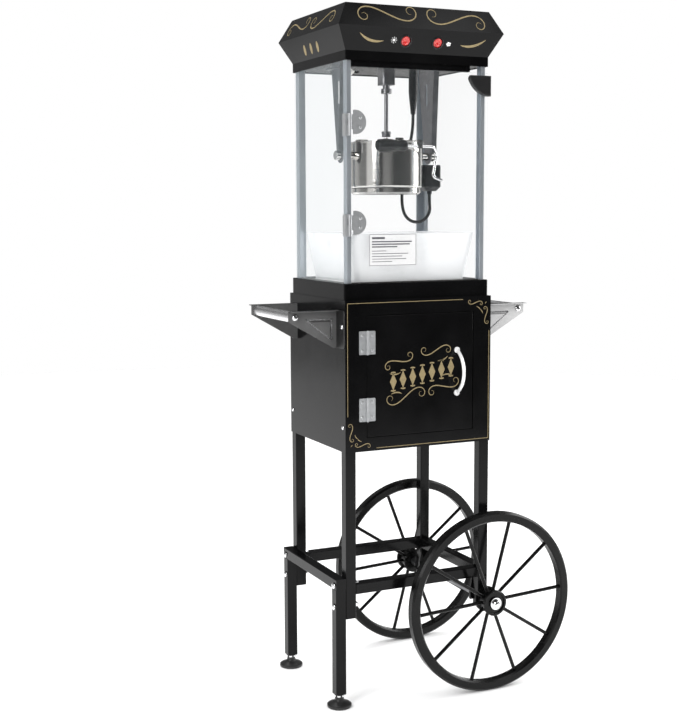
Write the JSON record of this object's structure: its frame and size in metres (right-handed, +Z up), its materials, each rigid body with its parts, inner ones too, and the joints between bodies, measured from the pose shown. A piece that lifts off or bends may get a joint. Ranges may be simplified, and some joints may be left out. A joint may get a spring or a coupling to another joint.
{
  "type": "kettle popcorn machine on a two-wheeled cart",
  "caption": "Kettle popcorn machine with glass case and flared canopy on a cabinet cart with spoked wheels, tilting kettle, stirrer, doors and push bars.",
  "frame": {"origin": "centre of the bounding box in plan, at floor level under the wheels and feet", "axes": "+X to the right along the front, +Y to the back, +Z up"},
  "size_m": [0.6, 0.4116, 1.375],
  "materials": {
    "black_paint": "gloss",
    "wheel_black": "satin",
    "black_plastic": "satin",
    "foot_rubber": "satin",
    "cord_jacket": "satin",
    "chrome": "polished",
    "hinge_steel": "satin",
    "bracket_paint": "satin",
    "white_pull": "polished",
    "silver_bar": "satin",
    "zinc_steel": "satin",
    "stainless": "polished",
    "aluminium": "satin",
    "clear_glass": "clear",
    "lamp": "frosted",
    "red_lens": "gloss",
    "tray_plastic": "translucent"
  },
  "bodies": {
    "root": {"leg_front_left": "black_paint", "leg_rear_left": "black_paint", "leg_front_right": "black_paint", "leg_rear_right": "black_paint", "frame_rails": "black_paint", "axle_beam": "black_paint", "stand_frame": "black_paint", "frame_bolts": "chrome", "axle": "zinc_steel", "cabinet_left_panel": "black_paint", "cabinet_right_panel": "black_paint", "cabinet_back_panel": "black_paint", "cabinet_front_frame": "black_paint", "cabinet_floor": "black_paint", "cabinet_top": "black_paint", "cabinet_fixed_hinges": "hinge_steel", "handle_brackets": "bracket_paint", "push_bars": "silver_bar", "base_shell": "black_paint", "case_deck": "stainless", "case_posts": "aluminium", "left_pane": "clear_glass", "right_pane": "clear_glass", "back_pane": "clear_glass", "case_fixed_hinges": "hinge_steel", "canopy_shell": "black_paint", "mains_inlet": "black_plastic", "switch_bezels": "black_plastic", "ceiling_plate": "stainless", "heat_lamp": "lamp", "gear_motor": "zinc_steel", "kettle_hangers": "zinc_steel", "kettle_cord_plug": "black_plastic", "kettle_cord": "cord_jacket"},
    "front_wheel": {"front_wheel_rim": "wheel_black", "front_wheel_hub": "wheel_black"},
    "rear_wheel": {"rear_wheel_rim": "wheel_black", "rear_wheel_hub": "wheel_black"},
    "front_foot": {"front_foot": "foot_rubber"},
    "rear_foot": {"rear_foot": "foot_rubber"},
    "cabinet_door": {"cabinet_door": "black_paint", "cabinet_door_hinges": "hinge_steel", "cabinet_door_pull": "white_pull"},
    "case_door": {"case_door_glass": "clear_glass", "case_door_hinges": "hinge_steel", "case_door_handle": "black_plastic"},
    "light_switch": {"light_switch": "red_lens"},
    "kettle_switch": {"kettle_switch": "red_lens"},
    "kettle": {"kettle_pot": "stainless", "kettle_rim": "stainless", "kettle_heater_pan": "stainless", "kettle_handle_rod": "chrome", "kettle_handle_grip": "black_plastic", "kettle_terminal_housing": "black_plastic"},
    "front_lid": {"kettle_front_lid": "stainless"},
    "rear_lid": {"kettle_rear_lid": "stainless"},
    "drive_collar": {"drive_collar": "zinc_steel"},
    "drive_rod": {"drive_rod": "zinc_steel"},
    "stirrer": {"stirrer": "stainless"},
    "popcorn_tray": {"popcorn_tray": "tray_plastic"}
  },
  "joints": [
    {"name": "front_wheel_spin", "type": "hinge", "parent": "root", "child": "front_wheel", "pos_m": [0.113, -0.174, 0.187], "axis": [0, 1, 0], "continuous": true},
    {"name": "rear_wheel_spin", "type": "hinge", "parent": "root", "child": "rear_wheel", "pos_m": [0.113, 0.174, 0.187], "axis": [0, 1, 0], "continuous": true},
    {"name": "front_foot_screw", "type": "slide", "parent": "root", "child": "front_foot", "axis": [0, 0, -1], "range_m": [0, 0.015]},
    {"name": "rear_foot_screw", "type": "slide", "parent": "root", "child": "rear_foot", "axis": [0, 0, -1], "range_m": [0, 0.015]},
    {"name": "cabinet_door_hinge", "type": "hinge", "parent": "root", "child": "cabinet_door", "pos_m": [-0.1505, -0.1405, 0.6635], "axis": [0, 0, -1], "range_deg": [0, 110]},
    {"name": "case_door_hinge", "type": "hinge", "parent": "root", "child": "case_door", "pos_m": [-0.1835, -0.1315, 1.053], "axis": [0, 0, -1], "range_deg": [0, 105]},
    {"name": "light_switch_rock", "type": "hinge", "parent": "root", "child": "light_switch", "pos_m": [-0.0676, -0.13852, 1.308], "axis": [1, 0, 0], "range_deg": [-6, 6]},
    {"name": "kettle_switch_rock", "type": "hinge", "parent": "root", "child": "kettle_switch", "pos_m": [0.0025, -0.13852, 1.308], "axis": [1, 0, 0], "range_deg": [-6, 6]},
    {"name": "kettle_tilt", "type": "hinge", "parent": "root", "child": "kettle", "pos_m": [-0.034, 0.01, 1.096], "axis": [1, 0, 0], "range_deg": [0, 75], "deforming": ["kettle_cord"]},
    {"name": "front_lid_hinge", "type": "hinge", "parent": "kettle", "child": "front_lid", "pos_m": [-0.034, 0.004, 1.1266], "axis": [-1, 0, 0], "range_deg": [0, 60]},
    {"name": "rear_lid_hinge", "type": "hinge", "parent": "kettle", "child": "rear_lid", "pos_m": [-0.034, 0.016, 1.1266], "axis": [1, 0, 0], "range_deg": [0, 60]},
    {"name": "drive_spin", "type": "hinge", "parent": "root", "child": "drive_collar", "pos_m": [-0.034, 0.01, 1.23], "axis": [0, 0, 1], "continuous": true},
    {"name": "drive_lift", "type": "slide", "parent": "drive_collar", "child": "drive_rod", "axis": [0, 0, 1], "range_m": [0, 0.053]},
    {"name": "stirrer_spin", "type": "hinge", "parent": "kettle", "child": "stirrer", "pos_m": [-0.034, 0.01, 1.04], "axis": [0, 0, 1], "continuous": true},
    {"name": "tray_lift", "type": "slide", "parent": "root", "child": "popcorn_tray", "axis": [0, 0, 1], "range_m": [0, 0.06]}
  ],
  "couplings": [
    {"joint": "stirrer_spin", "follows": "drive_spin", "ratio": 1},
    {"joint": "drive_lift", "follows": "kettle_tilt", "m_per_rad": 0.0397}
  ]
}
